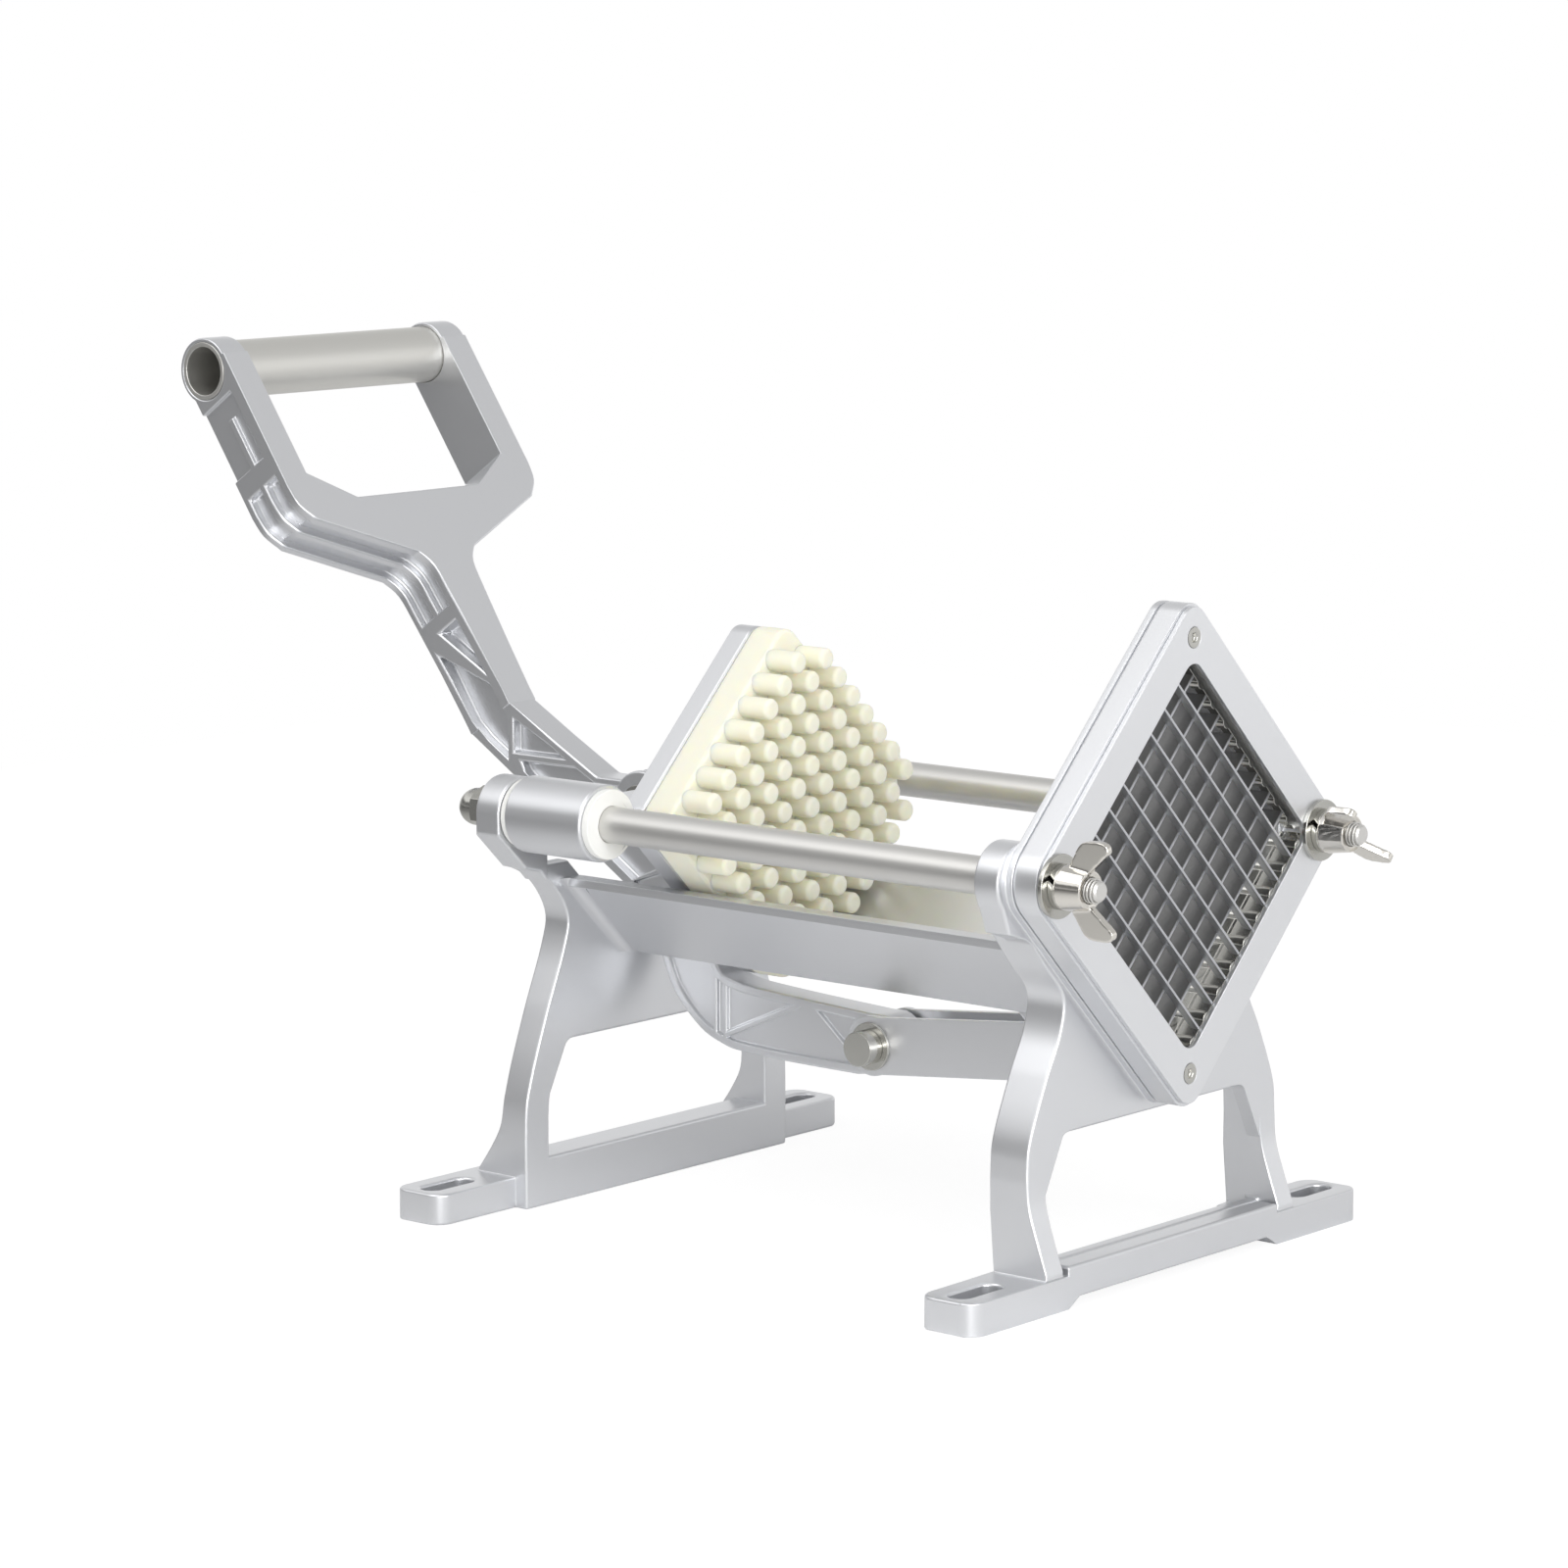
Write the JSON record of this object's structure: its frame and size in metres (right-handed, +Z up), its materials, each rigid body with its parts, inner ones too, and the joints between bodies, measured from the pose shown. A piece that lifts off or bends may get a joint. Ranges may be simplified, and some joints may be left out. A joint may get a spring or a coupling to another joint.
{
  "type": "french fry cutter",
  "caption": "Lever-operated french fry cutter: a V trough on cast legs, a finger block that slides on two rods, and a square blade grid on its corner.",
  "frame": {"origin": "on the bench, midway between the slots of the two front feet", "axes": "+X along the guide rods, from the handle towards the blades; +Z up; +Y to the left of someone looking along +X"},
  "size_m": [0.413, 0.206, 0.2839],
  "materials": {
    "cast_aluminium": "satin die casting, light grey",
    "machined_aluminium": "fine satin",
    "ground_steel": "ground and polished along the rod",
    "blade_steel": "rolled strip",
    "fastener_steel": "zinc plated",
    "nickel_plate": "nickel plated casting",
    "white_nylon": "turned nylon",
    "ivory_plastic": "moulded, smooth",
    "grip_steel": "drawn tube, satin"
  },
  "bodies": {
    "frame": {"front_frame": "cast_aluminium", "trough": "cast_aluminium", "rear_frame": "cast_aluminium", "guide_rod_left": "ground_steel", "guide_rod_right": "ground_steel", "rear_washers": "fastener_steel", "rear_nuts": "fastener_steel", "blade_holder": "machined_aluminium", "blades_rear": "blade_steel", "blades_front": "blade_steel", "blade_frame": "machined_aluminium", "blade_screws": "fastener_steel", "front_washers": "fastener_steel", "spring_washers": "fastener_steel"},
    "carriage": {"carriage": "cast_aluminium", "bushes_front": "white_nylon", "bushes_rear": "white_nylon", "push_block": "ivory_plastic", "block_screws": "fastener_steel", "lever_pin": "fastener_steel", "lever_pin_clips": "fastener_steel"},
    "lever": {"lever": "cast_aluminium", "grip_tube": "grip_steel"},
    "link": {"link": "machined_aluminium", "link_pin": "fastener_steel", "link_pin_clips": "fastener_steel", "anchor_pin": "fastener_steel", "anchor_clips": "fastener_steel"},
    "wing_nut_left": {"wing_nut_left": "nickel_plate"},
    "wing_nut_right": {"wing_nut_right": "nickel_plate"}
  },
  "joints": [
    {"name": "carriage_slide", "type": "slide", "parent": "frame", "child": "carriage", "axis": [1, 0, 0], "range_m": [0, 0.15]},
    {"name": "lever_pivot", "type": "hinge", "parent": "carriage", "child": "lever", "pos_m": [-0.202, 0, 0.131], "axis": [0, 1, 0], "range_deg": [0, 70.58]},
    {"name": "link_pivot", "type": "hinge", "parent": "lever", "child": "link", "pos_m": [-0.1055, 0, 0.0605], "axis": [0, 1, 0], "range_deg": [-105.95, 0]},
    {"name": "wing_nut_left_turn", "type": "hinge", "parent": "frame", "child": "wing_nut_left", "pos_m": [0.025, 0.0692, 0.135], "axis": [1, 0, 0], "continuous": true},
    {"name": "wing_nut_right_turn", "type": "hinge", "parent": "frame", "child": "wing_nut_right", "pos_m": [0.025, -0.0692, 0.135], "axis": [1, 0, 0], "continuous": true}
  ],
  "couplings": [
    {"joint": "lever_pivot", "follows": "carriage_slide", "rad_per_m": 8.2114},
    {"joint": "link_pivot", "follows": "carriage_slide", "rad_per_m": -12.326}
  ]
}
